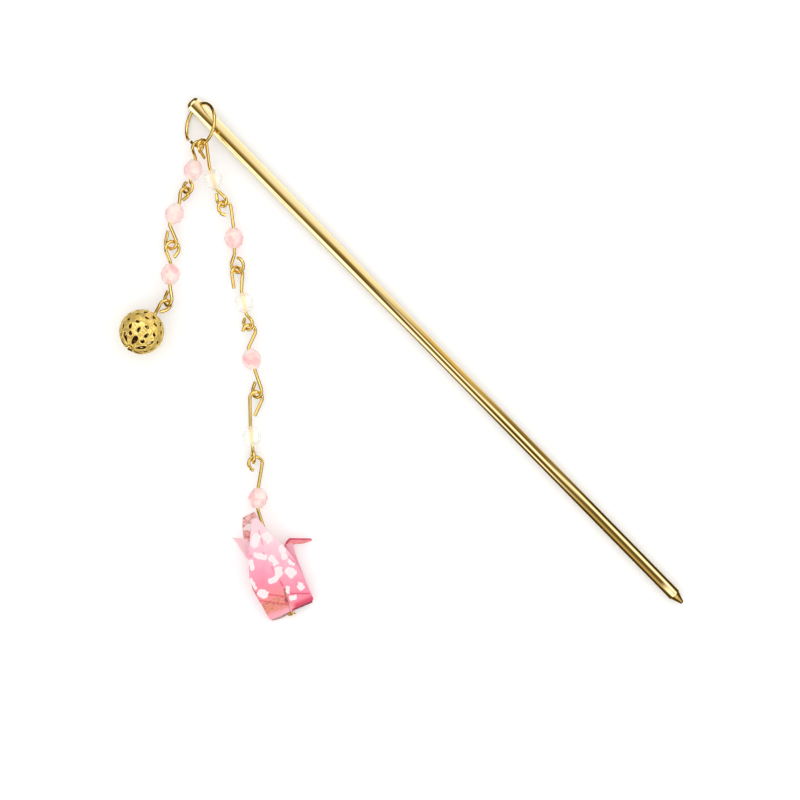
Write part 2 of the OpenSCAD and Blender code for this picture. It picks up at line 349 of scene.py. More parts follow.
stick_gold = paint(
    "stick_gold",
    {"Metallic": 1},
    plating((1, 0.84, 0.47, 1), (0.97, 0.76, 0.36, 1), (60, 3500, 3500), 12, 0.01),
)
head_r, hole_r = STICK_HEAD_D / 2, HEAD_HOLE_D / 2
profile = [(0, head_r - HEAD_ROUND - HEAD_INSET), (0, head_r - HEAD_ROUND)]
for a in (math.radians(15 * k) for k in range(1, 6)):
    profile.append((HEAD_ROUND * (1 - math.cos(a)), head_r - HEAD_ROUND * (1 - math.sin(a))))
profile += [(x, head_r - (STICK_HEAD_D - STICK_D) / STICK_L * x) for x in HOLE_ROWS + TAPER_ROWS]
profile += [(x, STICK_D / 2) for x in SHAFT_ROWS]
profile += [(STICK_L - left, radius) for left, radius in POINT_ROWS]
stick = shape("hair_stick_polished", *lathe(profile, 96), [stick_gold])
hole = [DRILL_END, (head_r, hole_r + HOLE_FLARE), (head_r - HOLE_FLARE_DEEP, hole_r)]
drill = shape("drill", *lathe([(-x, r) for x, r in hole] + hole[::-1], 64), [stick_gold])
drill.data.transform(placed((HEAD_HOLE_X * MM, 0, 0), (HEAD_HOLE_TIP, "X"), (math.pi / 2, "Z")))
worked(stick, "BOOLEAN", object=drill, solver="EXACT")
bpy.data.objects.remove(drill)
stick.data.transform(placed((HEAD_END + Vector((0, 0, head_r))) * MM))
finished(stick, "hair_stick")

# The split ring is one turn of round wire through the stick's head, with a slit and a slight
# spring. The strands are charted on the table: across, down and up from the stick's head end.
RING_CENTRE = (1.86, 4.3, 3.25)
RING_R = 3.85
RING_WIRE_D = 0.6
RING_TILT = math.radians(51.4)
RING_LEAN = math.radians(13.3)
RING_SLIT_AT = math.radians(215)
RING_SLIT = math.radians(7)
RING_SPRING = 0.5
RING_STEPS = 120
WIRE_SIDES = 20
# A cut end: how far its rounded burr goes, and its radius as a share of the wire's diameter
CUT_END = 0.04
CUT_END_R = 0.36


def to_row(chart):
    """The place of a charted point: across, down and up."""
    across, down, up = chart
    cos, sin = math.cos(HANG_ANGLE), math.sin(HANG_ANGLE)
    return HEAD_END + Vector((cos * across + sin * down, sin * across - cos * down, up))


def square_to(v, heading):
    return (v - v.dot(heading) * heading).normalized()


def wire(path, radii, sides=WIRE_SIDES):
    """Points and faces of a round wire along a path, with a radius at each point."""
    last = len(path) - 1
    runs = [(b - a).normalized() for a, b in zip(path, path[1:])]
    out = runs[0].orthogonal()
    points = []
    for i in range(last + 1):
        heading = (runs[max(i - 1, 0)] + runs[min(i, last - 1)]).normalized()
        out = square_to(out, heading)
        side = heading.cross(out)
        for k in range(sides):
            a = 2 * math.pi * k / sides
            points.append(path[i] + radii[i] * (math.cos(a) * out + math.sin(a) * side))
    faces = []
    for i in range(last):
        for k in range(sides):
            a, b = i * sides + k, i * sides + (k + 1) % sides
            faces.append((a, b, b + sides, a + sides))
    faces += [range(sides)[::-1], range(len(points) - sides, len(points))]
    return points, faces


def cut_wire(path, d):
    """A wire whose two ends are cut square with a little burr rounded off."""
    start = (path[0] - path[1]).normalized()
    end = (path[-1] - path[-2]).normalized()
    path = [path[0] + CUT_END * start, *path, path[-1] + CUT_END * end]
    return wire(path, [CUT_END_R * d] + [d / 2] * (len(path) - 2) + [CUT_END_R * d])


wire_gold = paint(
    "wire_gold",
    {"Metallic": 1},
    plating((1, 0.78, 0.28, 1), (0.97, 0.68, 0.2, 1), (900, 900, 900), 2, 0.02),
)
chart_right = to_row((1, 0, 0)) - to_row((0, 0, 0))
chart_up = to_row((0, 0, 0)) - to_row((0, 1, 0))
ring_normal = math.sin(RING_TILT) * (math.sin(RING_LEAN) * chart_up - math.cos(RING_LEAN) * chart_right)
ring_normal += Vector((0, 0, math.cos(RING_TILT)))
ring_a = square_to(chart_right, ring_normal)
ring_b = ring_normal.cross(ring_a)
ring_path = []
for i in range(RING_STEPS + 1):
    share = i / RING_STEPS
    a = RING_SLIT_AT + RING_SLIT / 2 + (2 * math.pi - RING_SLIT) * share
    ring_path.append(
        to_row(RING_CENTRE) + RING_R * (math.cos(a) * ring_a + math.sin(a) * ring_b)
        + ring_normal * RING_SPRING * (share - 0.5)
    )
ring = shape("jump_ring_bright", *cut_wire(ring_path, RING_WIRE_D), [wire_gold])
finished(ring, "jump_ring")

# Each bead sits on its own eye pin: a straight wire with an eye bent by hand at both ends. One row
# an eye. Columns: neck, centre, radius, roll, side, curl past a closed teardrop, straight end, lift.
WIRE_D = 0.6
SHORT_TOP_EYES = [
    [(0.9, 10.3, 2.3), (1.3, 8.3, 3.4), 1.1, 40, 1, 0, 0.8, 0],
    [(-2, 18.1, 1.75), (-1.1, 16.4, 1.7), 1.05, 50, 1, 0, 0.8, 0],
    [(-3.6, 28.7, 1.75), (-3.3, 26.3, 1.7), 1.3, 30, 1, 0, 0.9, 0],
]
SHORT_LOW_EYES = [
    [(-0.1, 14.3, 1.8), (-0.5, 15.4, 1.7), 1.05, 40, 1, -15, 0, 0],
    [(-3.8, 22, 1.75), (-3.5, 25.2, 1.7), 1.1, 25, 1, 0, 1.9, 0],
    [(-3.7, 33, 1.75), (-4, 35.3, 1.6), 1.15, 55, 1, 0, 1, 0],
]
LONG_TOP_EYES = [
    [(3.3, 11.6, 2.6), (2.2, 8.1, 4.4), 1.05, 43, -1, 0, 2.1, 0],
    [(7.6, 22.5, 1.75), (6.05, 19.1, 1.8), 1.2, 25, -1, 55, 0, 0],
    [(9, 33.8, 1.75), (8.5, 30.5, 1.7), 1, 50, -1, -18, 2.7, 0.75],
    [(10.2, 44, 1.75), (10.4, 41, 1.7), 1.15, 20, -1, -17, 0, 0],
    [(10.6, 57.7, 1.75), (11.6, 52.9, 1.7), 1.15, 20, 1, 0, 2.9, 0],
    [(12, 68.7, 1.75), (11.5, 64.5, 1.7), 1.2, 10, -1, 54, 0, 0],
]
LONG_LOW_EYES = [
    [(4.5, 15.7, 1.9), (5.5, 17.7, 1.8), 1.1, 45, 1, 0, 1.1, 0],
    [(7.8, 27.3, 1.75), (8.3, 29.2, 1.7), 1.3, 35, -1, 30, 0, 0],
    [(9.9, 38, 1.75), (10.2, 39.6, 1.7), 1.1, 45, 1, 0, 0.4, 0],
    [(11.8, 49.1, 1.75), (11.8, 51.6, 1.7), 1.15, 45, 1, 0, 1.2, 0],
    [(11, 61.7, 1.75), (11.1, 63.2, 1.7), 1.1, 80, 1, 0, 0.25, 0],
]
EYE_STEP = math.radians(8)
BEND_CUT = 0.35
SHARP_BEND = math.radians(12)


def eye_path(eye):
    """The path of one eye, from its neck round to the wire's end."""
    neck, centre, r, roll, hand, curl, back, lift = eye
    neck, centre = to_row(neck), to_row(centre)
    roll, curl = math.radians(roll), math.radians(curl)
    out = (centre - neck).normalized()
    flat = Vector((0, 0, 1)).cross(out).normalized()
    side = hand * (math.cos(roll) * flat + math.sin(roll) * out.cross(flat))
    above = out.cross(side)
    touch = math.acos(r / (centre - neck).length)
    turn = 2 * math.pi - 2 * touch + curl
    steps = math.ceil(turn / EYE_STEP)
    end = math.pi - touch - turn
    path = [neck]
    for i in range(steps + 1):
        a = math.pi - touch - turn * i / steps
        path.append(centre + r * (math.cos(a) * out + math.sin(a) * side) + above * lift * i / steps)
    if back > 0:
        path.append(path[-1] + back * (math.sin(end) * out - math.cos(end) * side))
    return path


def bent(path):
    """The path with its sharp corners rounded, as pliers leave them."""
    round_path = [path[0]]
    for before, corner, after in zip(path, path[1:], path[2:]):
        back, on = before - corner, after - corner
        if back.angle(-on) < SHARP_BEND:
            round_path.append(corner)
            continue
        start = corner + back.normalized() * min(BEND_CUT, 0.45 * back.length)
        stop = corner + on.normalized() * min(BEND_CUT, 0.45 * on.length)
        for share in (0, 0.25, 0.5, 0.75, 1):
            first, second = start.lerp(corner, share), corner.lerp(stop, share)
            round_path.append(first.lerp(second, share))
    return round_path + [path[-1]]


def eye_pin(name, top, low):
    path = bent(eye_path(top)[::-1] + eye_path(low))
    pin = shape(name + "_bent", *cut_wire(path, WIRE_D), [wire_gold])
    finished(pin, name)


for i, (top, low) in enumerate(zip(SHORT_TOP_EYES, SHORT_LOW_EYES), start=1):
    eye_pin(f"short_pin_{i}", top, low)
for i, (top, low) in enumerate(zip(LONG_TOP_EYES, LONG_LOW_EYES), start=1):
    eye_pin(f"long_pin_{i}", top, low)

# The beads are pressed glass, ground with flat facets in four belts, with a fine hole along the
# middle. Pink and clear beads take turns on the long strand; the clear ones have a rainbow film.
# A slight glow stands for the light that comes up through them from the white table.
BEAD_D = 3.5
BEAD_L = 3.6
BEAD_HOLE_D = 0.9
BEAD_SIDES = 8
BEAD_EDGE = 0.05
FACET_ANGLE = 12
BELTS = [(-1, 0.42), (-0.55, 0.88), (0, 1), (0.55, 0.88), (1, 0.42)]
SHORT_BEAD_AT = [0.5, 0.5, 0.5]
LONG_BEAD_AT = [0.58, 0.4, 0.5, 0.38, 0.5, 0.5]
CRANE_BEAD_LOW = (11.9, 72.6, 1.75)


def bead_mesh():
    """A faceted bead along Z. Its two flat ends meet the hole in rings of twice as many points."""
    n = BEAD_SIDES
    points, faces = [], []
    for j, (up, share) in enumerate(BELTS):
        for k in range(n):
            a = 2 * math.pi * (k + (j % 2) / 2) / n
            r = share * BEAD_D / 2
            points.append((r * math.cos(a), r * math.sin(a), up * BEAD_L / 2))
    for j in range(len(BELTS) - 1):
        for k in range(n):
            low = (j * n + k, j * n + (k + 1) % n)
            up = ((j + 1) * n + k, (j + 1) * n + (k + 1) % n)
            faces += [(low[0], low[1], up[j % 2]), (up[1], up[0], low[1 - j % 2])]
    for end, belt in ((-1, 0), (1, len(BELTS) - 1)):
        rim = []
        for k in range(2 * n):
            a = math.pi * k / n
            rim.append(len(points))
            r = BEAD_HOLE_D / 2
            points.append((r * math.cos(a), r * math.sin(a), end * BEAD_L / 2))
        for k in range(n):
            a, b = belt * n + k, belt * n + (k + 1) % n
            c, d, e = rim[2 * k], rim[2 * k + 1], rim[(2 * k + 2) % (2 * n)]
            faces += [(b, a, c, d), (b, d, e)] if end < 0 else [(a, b, d, c), (b, e, d)]
    low_rim = len(points) - 4 * n
    for k in range(2 * n):
        a, b = low_rim + k, low_rim + (k + 1) % (2 * n)
        faces.append((b, a, a + 2 * n, b + 2 * n))
    return points, faces


def glass(pale, deep):
    """Tinted glass, pale where it is thin, deeper in streaks and towards its rim."""
    def recipe(tone):
        place = tone.place()
        patch = tone.node("TexVoronoi", {}, {"Vector": place, "Scale": 900}, out="Color")
        edge = tone.node("LayerWeight", {}, {"Blend": 0.35}, out="Facing")
        ripple = noise(place, 1500, 1)
        return {
            "Base Color": tone.mix(patch * patch + edge * 0.3, pale, deep),
            "Normal": bump(ripple, 0.1, 0.05),
        }
    return recipe


any_glass = {"IOR": 1.52, "Roughness": 0.03, "Subsurface Weight": 1, "Subsurface Scale": 0.0015}
pink_glass = paint(
    "pink_glass",
    any_glass | {
        "Transmission Weight": 0.3, "Alpha": 0.8, "Subsurface Radius": (1, 0.7, 0.7),
        "Emission Color": (1, 0.88, 0.76, 1), "Emission Strength": 0.11,
    },
    glass((1, 0.91, 0.88, 1), (1, 0.4, 0.45, 1)),
)
clear_glass = paint(
    "clear_glass",
    any_glass | {
        "Transmission Weight": 0.75, "Alpha": 0.5, "Thin Film Thickness": 420, "Thin Film IOR": 1.7,
        "Emission Color": (1, 0.93, 0.84, 1), "Emission Strength": 0.13,
    },
    glass((1, 0.99, 0.97, 1), (0.9, 0.94, 0.95, 1)),
)


def bead(name, top, low, share, material, slot):
    top, low = to_row(top), to_row(low)
    made = shape(name + "_glass", *bead_mesh(), [material])
    heading = (low - top).normalized()
    turns = (math.atan2(heading.y, heading.x), "Z"), (math.acos(heading.z), "Y")
    made.data.transform(placed((top + share * (low - top)) * MM, *turns))
    limit = math.radians(FACET_ANGLE)
    worked(made, "BEVEL", width=BEAD_EDGE * MM, segments=2, limit_method="ANGLE", angle_limit=limit)
    finished(made, name, FACET_ANGLE)


for i, share in enumerate(SHORT_BEAD_AT):
    bead(f"short_bead_{i + 1}", SHORT_TOP_EYES[i][0], SHORT_LOW_EYES[i][0], share, pink_glass, "pink_bead")
lows = [eye[0] for eye in LONG_LOW_EYES] + [CRANE_BEAD_LOW]
for i, share in enumerate(LONG_BEAD_AT):
    tint = (pink_glass, "pink_bead") if i % 2 else (clear_glass, "clear_bead")
    bead(f"long_bead_{i + 1}", LONG_TOP_EYES[i][0], lows[i], share, *tint)

# The ball is two stamped brass cups of openwork, joined at the equator and gold plated. A head pin
# runs through its poles, with one eye, and its flat head is stamped as a small flower.
BALL_D = 8
BALL_SHEET_T = 0.3
BALL_TIP = math.radians(31)
BALL_EYE = [(-6.3, 37.8, 1.61), (-4.6, 36.4, 1.6), 1.1, 45, 1, 0, 1, 0]
BALL_CENTRE = to_row((-8.6, 41.1, BALL_D / 2))
BALL_FINENESS = 7
PIN_HEAD_D = 1.5
PIN_HEAD_GAP = 0.05
PIN_HEAD_LOBES = 5
PIN_HEAD_DENT = 0.13
HEAD_PIN_SIDES = 40
# A flat head's rows: how far past the wire's end, and the radius as a share of the full one
HEAD_ROWS = [(0.02, 0.9), (0.07, 1), (0.2, 1), (0.27, 0.85), (0.3, 0.55), (0.31, 0.3)]
# Openings of one cup. Columns: angle from the pole, how many, turn in steps, length along the
# meridian, width, and how much narrower the end towards the pole is.
OPENINGS = [
    (0, 1, 0, 1, 1, 0),
    (29, 6, 0, 2.1, 0.9, 0.75),
    (43, 6, 0.5, 0.8, 0.8, 0),
    (61, 12, 0.25, 1.05, 0.62, -0.7),
    (78.5, 12, 0.75, 0.5, 0.85, 0),
]
# Raised rings and grains of one cup. Columns: angle from the pole, half width. Then: angle from
# the pole, how many, turn in steps, radius
RINGS = [(12.5, 0.1), (51, 0.09), (70.5, 0.09)]
GRAINS = [(20, 6, 0.5, 0.2), (57, 12, 0.75, 0.17), (66, 12, 0.75, 0.17)]
RELIEF = 0.13
RIM_AT = 0.13
RIM_HALF = 0.09
SEAM_HALF = 0.2


def stamps(rows):
    """The turn that puts each stamped opening or grain on the ball, with its row of the table."""
    for cup in (0, 1):
        for row in rows:
            for k in range(row[1]):
                spin = Matrix.Rotation(2 * math.pi * (k + row[2]) / row[1], 3, "Z")
                tip = Matrix.Rotation(math.radians(row[0]), 3, "Y")
                yield np.array(Matrix.Rotation(math.pi * cup, 3, "X") @ spin @ tip), row


def from_opening(spots, length, width, narrow):
    """How far each spot lies outside an opening's outline, and the way there."""
    u, v = 2 * spots[:, 0] / length, 2 * spots[:, 1] / width
    taper = np.maximum(0.15, 1 + narrow * u)
    v = v / np.sqrt(taper)
    reach = np.maximum(np.hypot(u, v), 0.01)
    rise = np.stack([
        (u - 0.5 * v * v * narrow / taper) * 2 / length / reach,
        v / np.sqrt(taper) * 2 / width / reach,
        np.zeros(len(spots)),
    ], axis=1)
    steep = np.maximum(np.linalg.norm(rise, axis=1), 0.2)
    gap = np.where(spots[:, 2] > 0, (reach - 1) / steep, 9)
    return gap, rise / steep[:, None]


def opened(spots):
    """How far each spot lies outside the nearest opening. Moves those inside one to its edge."""
    gap = np.full(len(spots), 9.0)
    slide = np.zeros(spots.shape)
    for turn, (_, _, _, length, width, narrow) in stamps(OPENINGS):
        out, way = from_opening(spots @ turn, length, width, narrow)
        nearer = out < gap
        gap[nearer] = out[nearer]
        slide[nearer] = (-out[:, None] * way @ turn.T)[nearer]
    spots[gap < 0] += slide[gap < 0]
    spots *= BALL_D / 2 / np.linalg.norm(spots, axis=1)[:, None]
    return gap


def relief(spots, gap):
    """How raised the sheet is at each spot, from 0 to 1, with its rims, rings, grains and seam."""
    raised = np.exp(-(((np.maximum(gap, 0) - RIM_AT) / RIM_HALF) ** 2))
    clear = gap > RIM_AT + RIM_HALF
    from_pole = np.arccos(np.abs(spots[:, 2]) * 2 / BALL_D)
    for angle, half in RINGS:
        along = (from_pole - math.radians(angle)) * BALL_D / 2
        raised = np.maximum(raised, 0.8 * clear * np.exp(-((along / half) ** 2)))
    for turn, (_, _, _, radius) in stamps(GRAINS):
        near = np.linalg.norm(spots - turn[:, 2] * BALL_D / 2, axis=1) / radius
        raised = np.maximum(raised, np.sqrt(np.maximum(0, 1 - near * near)))
    seam = np.abs(spots[:, 2]) / SEAM_HALF
    return np.where(seam < 2, np.exp(-4 * (seam - 0.8) ** 4), raised)


def with_inside(outer, faces):
    """Points and faces of the sheet's outer side, its inner side and the walls of its openings."""
    count = len(outer)
    inner = outer * (1 - BALL_SHEET_T / np.linalg.norm(outer, axis=1))[:, None]
    ways = np.concatenate([faces[:, [0, 1]], faces[:, [1, 2]], faces[:, [2, 0]]])
    bare = ways[~np.isin(ways[:, 0] * count + ways[:, 1], ways[:, 1] * count + ways[:, 0])]
    walls = np.stack([bare[:, 1], bare[:, 0], bare[:, 0] + count, bare[:, 1] + count], axis=1)
    whole = faces.tolist() + (faces[:, ::-1] + count).tolist() + walls.tolist()
    return np.concatenate([outer, inner]), whole


def stamped_cups():
    """Both cups: points, faces, how many of them are the outer side, and how raised each point is."""
    fine = bmesh.new()
    bmesh.ops.create_icosphere(fine, subdivisions=BALL_FINENESS, radius=BALL_D / 2)
    spots = np.array([v.co for v in fine.verts])
    faces = np.array([[v.index for v in f.verts] for f in fine.faces])
    fine.free()
    gap = opened(spots)
    faces = faces[(gap[faces] > 0).any(axis=1)]
    raised = relief(spots, gap)
    spots *= (1 - RELIEF * (1 - raised) * 2 / BALL_D)[:, None]
    used, faces = np.unique(faces, return_inverse=True)
    faces = faces.reshape(-1, 3)
    return *with_inside(spots[used], faces), len(faces), np.concatenate([raised[used]] * 2)


def stamped_gold(tone):
    """Raised parts are bright with polish, and some of the recesses are painted brown as shade."""
    place = tone.place()
    raised = tone.node("Attribute", {"attribute_name": "raised"}, {}, out="Fac")
    cloud = noise(place, 600, 3)
    # Painted shade: the low parts of the relief, broken up at random, are brown, and rougher too
    polished_and_unshaded = past(raised + 0.8 * cloud, 0.2, 0.6)
    chased = noise(place, 800, 1)
    gold = tone.mix(cloud, (1, 0.8, 0.26, 1), (1, 0.7, 0.17, 1))
    return {
        "Base Color": tone.mix(polished_and_unshaded, (0.36, 0.19, 0.03, 1), gold),
        "Roughness": 0.34 - 0.18 * polished_and_unshaded + 0.05 * cloud,
        "Normal": bump(chased, 0.7, 0.2),
    }


# The cups' inner side and the walls of their openings, painted dark brown as shade
def ball_inside_painted_shade(tone):
    cloud = noise(tone.place(), 900, 3)
    return {
        "Base Color": tone.mix(cloud, (0.5, 0.28, 0.06, 1), (0.25, 0.12, 0.02, 1)),
        "Roughness": 0.3 + 0.2 * cloud,
    }


points, faces, outer_count, raised = stamped_cups()
cup_gold = [
    paint("ball_gold", {"Metallic": 0.55}, stamped_gold),
    paint("ball_inside_painted_shade", {"Metallic": 1}, ball_inside_painted_shade),
]
ball = shape("filigree_ball_stamped", points, faces, cup_gold)
ball.data.attributes.new("raised", "FLOAT", "POINT").data.foreach_set("value", raised)
ball.data.polygons.foreach_set("material_index", [int(i >= outer_count) for i in range(len(faces))])
ball_neck = to_row(BALL_EYE[0])
along_pin = BALL_CENTRE - Vector((ball_neck.x, ball_neck.y, BALL_CENTRE.z))
turns = (math.atan2(along_pin.y, along_pin.x), "Z"), (math.pi / 2 - BALL_TIP, "Y")
ball.data.transform(placed(BALL_CENTRE * MM, *turns))
finished(ball, "filigree_ball", sharp=70)


def head_pin(name, node, path, lobes):
    """A wire with an eye at its start and a flat head at its end, stamped with lobes."""
    path = bent(path)
    start = (path[0] - path[1]).normalized()
    tail = (path[-1] - path[-2]).normalized()
    rows = [(path[-1] + along * tail, share * PIN_HEAD_D / 2) for along, share in HEAD_ROWS]
    path = [path[0] + CUT_END * start, *path]
    radii = [CUT_END_R * WIRE_D] + [WIRE_D / 2] * (len(path) - 1)
    points, faces = wire(path + [p for p, _ in rows], radii + [r for _, r in rows], HEAD_PIN_SIDES)
    for i in range(len(path) * HEAD_PIN_SIDES, len(points)):
        middle = rows[i // HEAD_PIN_SIDES - len(path)][0]
        a = 2 * math.pi * (i % HEAD_PIN_SIDES) / HEAD_PIN_SIDES
        points[i] = middle + (points[i] - middle) * (1 - PIN_HEAD_DENT * (1 - math.cos(lobes * a)))
    finished(shape(name, points, faces, [wire_gold]), node)


through = (BALL_CENTRE - ball_neck).normalized()
head_pin(
    "ball_pin_stamped", "ball_pin",
    eye_path(BALL_EYE)[::-1] + [BALL_CENTRE + through * (BALL_D / 2 + PIN_HEAD_GAP)],
    PIN_HEAD_LOBES,
)

# The crane is folded from one square of washi, a soft mulberry paper with a printed face and a pale
# back. It lies on its side with both wings raised, and its pin runs down between them.
PAPER_SIDE = 37.5
PAPER_T = 0.08
BOTTOM_HALF = 0.0995 * PAPER_SIDE
PEAK_UP = 0.2071 * PAPER_SIDE
BOTTOM_UP = 0.3
CRANE_BOTTOM = (17.7, 90.9, 0)
CRANE_TURN = HANG_ANGLE + math.radians(22.6)
FAR_WING_TURN = math.radians(4)
NEAR_WING_Z = 1.2
NEAR_WING_RISE = math.radians(12)
LIMB_Z = 0.6
LIMB_RISE = math.radians(3.5)
# Outlines of the wings, in their own planes. Columns: up, left, right
NEAR_EDGES = [
    (0, -3.7, 4.1), (0.7, -3.9, 4.7), (3.5, -4.25, 4.65), (5.6, -4.35, 4.65), (8.6, -4.35, 4.35),
    (12, -3.15, 3.5), (14.4, -1.95, 2.3), (17.6, -0.2, 1.35), (18.3, 0.1, 1.05),
]
FAR_EDGES = [
    (0, -3.7, 3.7), (0.6, -3.95, 3.9), (6.6, -4.3, 4.5), (11.7, -2.55, 3.5),
    (15.8, -1.5, 2.5), (17.4, -0.9, 2.3), (18.8, -0.1, 2.2),
]
# Narrow limbs, by lines across them. Columns: left end, right end, where the upper layer ends
NECK_LINES = [
    ((0.3, 0.3), (3.7, 0), 0), ((1.3, 3.1), (4.6, 3), 0), ((2.3, 6), (4.67, 6), 0),
    ((3.2, 8), (4.72, 8), 0.6), ((3.45, 9.5), (4.85, 9.3), 0.82),
    ((3.35, 11), (5.07, 10.95), 0.97), ((3.6, 11.5), (5.05, 11.3), 1),
]
HEAD_LINES = [
    ((3.4, 11.1), (5.07, 10.8), 0.3), ((4.1, 11.9), (5.1, 10.9), 0.3), ((4.92, 12.25), (5.4, 10.85), 0.3),
    ((6.7, 11.45), (6.9, 10.35), 0.35), ((8.45, 10.7), (8.5, 10.25), 0.5),
]
TAIL_LINES = [
    ((-3.3, 0.3), (-0.3, 0.3), 0.5), ((-3.35, 11.4), (-1.8, 11.4), 0.5), ((-3.85, 13.4), (-1.9, 13), 0.5),
    ((-4.1, 15.1), (-2, 14.3), 0.55), ((-4.5, 16.3), (-2, 14.9), 0.6),
]
HUMP_LINES = [
    ((-BOTTOM_HALF, 0.2), (BOTTOM_HALF, 0.2), 0.5), ((-0.3, PEAK_UP - 0.3), (0.3, PEAK_UP - 0.3), 0.5),
]
# Creases pressed into the near wing, from point to point. Then the ends of layers that lie on it,
# right and left of the slit. Columns: side, start, end, drop
CREASES = [
    ((-2.8, 12.3), (-0.2, 11.9)), ((0.2, 13.4), (0.5, 16)), ((0.6, 5), (0.1, 9)), ((3.6, 9.5), (4.3, 7.6)),
]
LAYER_EDGES = [
    (1, (0.9, 3.4), (4.4, 1.8), 0.1), (-1, (-4.3, 5.7), (0.5, 2.9), 0.04),
    (-1, (-4.4, 4.2), (0.1, 1.5), 0.06),
]
CREASE_DEPTH = 0.06
CREASE_WIDTH = 0.14
SLIT_TOP = (0.75, 4.9)
SLIT_KNEE = (0.3, 2.4)
SLIT_HALF = 0.05
LIP_LIFT = 0.12
LIP_HALF = 0.6
FOLD_Z = 0.175
FOLD_R = 0.09
NEAR_CROWN = 0.17
FAR_CROWN = 0.07
STEP = 0.14
LIMB_COLUMNS = 12
LIMB_LAYER_T = 0.06
# The sheet's turn under the crane, and its left half's lower part, which stands off as a loose hem
BOTTOM_STEPS = 10
FAR_BOTTOM = 3.7
BELLY = 0.1
BELLY_TOP = 1.2
HEM_OUT = 0.5
HEM_DROP = 0.2
CRANE = placed(to_row(CRANE_BOTTOM), (CRANE_TURN, "Z"))
FAR_WING = CRANE @ placed((0, 0, 0), (FAR_WING_TURN, "Z"))
NEAR_WING = CRANE @ placed((0, 0, NEAR_WING_Z), (NEAR_WING_RISE, "X"))
LIMB = CRANE @ placed((0, 0, LIMB_Z), (LIMB_RISE, "X"))


def soft(low, high, value):
    """A smooth step from 0 at low to 1 at high."""
    share = max(0, min(1, (value - low) / (high - low)))
    return share * share * (3 - 2 * share)


def edges(outline, y):
    """Where a wing's left and right folds are at a height."""
    heights, left, right = zip(*outline)
    return float(np.interp(y, heights, left)), float(np.interp(y, heights, right))


def bulge(outline, x, y):
    """How round the fold is at a place, and how far the sheet stands out there, both from 0 to 1."""
    left, right = edges(outline, y)
    gap = max(0, min(x - left, right - x))
    fold = math.sqrt(1 - (1 - min(1, gap / FOLD_R)) ** 2)
    return fold, max(0, 4 * (x - left) * (right - x) / (right - left) ** 2)


def slit(y):
    """The near wing's slit at a height: its middle, and half of how far it gapes."""
    if y >= SLIT_TOP[1]:
        return SLIT_TOP[0], 0
    share = (y - SLIT_KNEE[1]) / (SLIT_TOP[1] - SLIT_KNEE[1])
    if share >= 0:
        return SLIT_KNEE[0] + share * (SLIT_TOP[0] - SLIT_KNEE[0]), SLIT_HALF * (1 - share) ** 0.7
    return SLIT_KNEE[0] * y / SLIT_KNEE[1], SLIT_HALF * (1 + 0.7 * share)


def creased(x, y):
    """How near a place on the near wing is to a pressed line, from 0 to 1 on it."""
    place = Vector((x, y))
    lines = CREASES + [
        (start, end) for side, start, end, _ in LAYER_EDGES if (x - slit(y)[0]) * side > 0
    ]
    near = 0
    for start, end in lines:
        a, b = Vector(start), Vector(end)
        share = max(0, min(1, (place - a).dot(b - a) / (b - a).length_squared))
        near = max(near, math.exp(-(((place - a.lerp(b, share)).length / CREASE_WIDTH) ** 2)))
    return near


def layered(x, y):
    """How far the near wing's face lies below its top layer at a place."""
    depth = 0
    for side, start, end, drop in LAYER_EDGES:
        a, b = Vector(start), Vector(end)
        if (x - slit(y)[0]) * side > 0:
            depth += drop * soft(0.07, -0.07, (b - a).normalized().cross(Vector((x, y)) - a))
    return depth


def near_face(x, y):
    fold, crown = bulge(NEAR_EDGES, x, y)
    lip = LIP_LIFT * math.exp(-(((x - slit(y)[0]) / LIP_HALF) ** 2)) * soft(SLIT_TOP[1], 1, y)
    pressed = CREASE_DEPTH * creased(x, y) + layered(x, y)
    return FOLD_Z + FOLD_R * fold + NEAR_CROWN * crown + lip - pressed * soft(0, 0.12, crown)


def smooth_face(outline, way):
    """The height of a wing's uncreased side at a place: its upper side if way is 1, its lower if -1."""
    def height(x, y):
        fold, crown = bulge(outline, x, y)
        return FOLD_Z + way * (FOLD_R * fold + FAR_CROWN * crown)
    return height


far_under = smooth_face(FAR_EDGES, -1)


def near_ink(x, y):
    """How deep, how warm and how gilt the print is at a place on the near wing. Deep is maroon at 1,
    and gilt over 1 is solid. Deep also holds painted shade: along the creases and layer edges, at the
    slit's lower bend, where the sheet turns under, and in part of the deep magenta at the lower right.
    The solid gilt along the slit's upper part is painted shade as well."""
    warm = soft(1.4, -0.6, x) * soft(6.5, 3.2, y) * soft(0.5, 1.9, y)
    # Deep magenta at the lower right, under the neck's base: partly the print, partly painted shade
    deep = soft(0.4, 1.6, x) * soft(1.7, 0.7, y)
    # Painted shade where the sheet turns under at its bottom edge
    turned = soft(0.62, 0.42, y) * soft(0.1, 0.7, x)
    # Painted shade along the creases and the layer edges
    line = creased(x, y) * (0.85 if y < 6 else 0.5)
    off = x - slit(y)[0]
    # Painted shade at the slit's lower bend, and a solid gilt line as painted shade along its upper part
    slit_knee_shade = soft(0.55, 0.15, math.hypot(off + 0.15, 0.6 * (y - 2.4)))
    lens = soft(0.24, 0.14, abs(off + 0.06)) * soft(2.9, 3.3, y) * soft(4.9, 4.2, y)
    return max(min(0.92, deep), turned, line, slit_knee_shade), warm, max(warm * soft(4.2, 2.6, y), 1.5 * lens)


def far_ink(x, y):
    return 0, 0.6 * soft(1, -2, x), 0.65


def hidden_ink(x, y):
    return 0, 0.2, 0


def columns(left, right, step):
    """Places from a left to a right fold, close together where the paper turns."""
    turn = [FOLD_R * share for share in (0, 0.13, 0.4, 0.8, 1.5)]
    count = max(4, math.ceil((right - left) / step))
    middle = [left + turn[-1] + (right - left - 2 * turn[-1]) * k / count for k in range(1, count)]
    return [left + t for t in turn] + middle + [right - t for t in reversed(turn)]


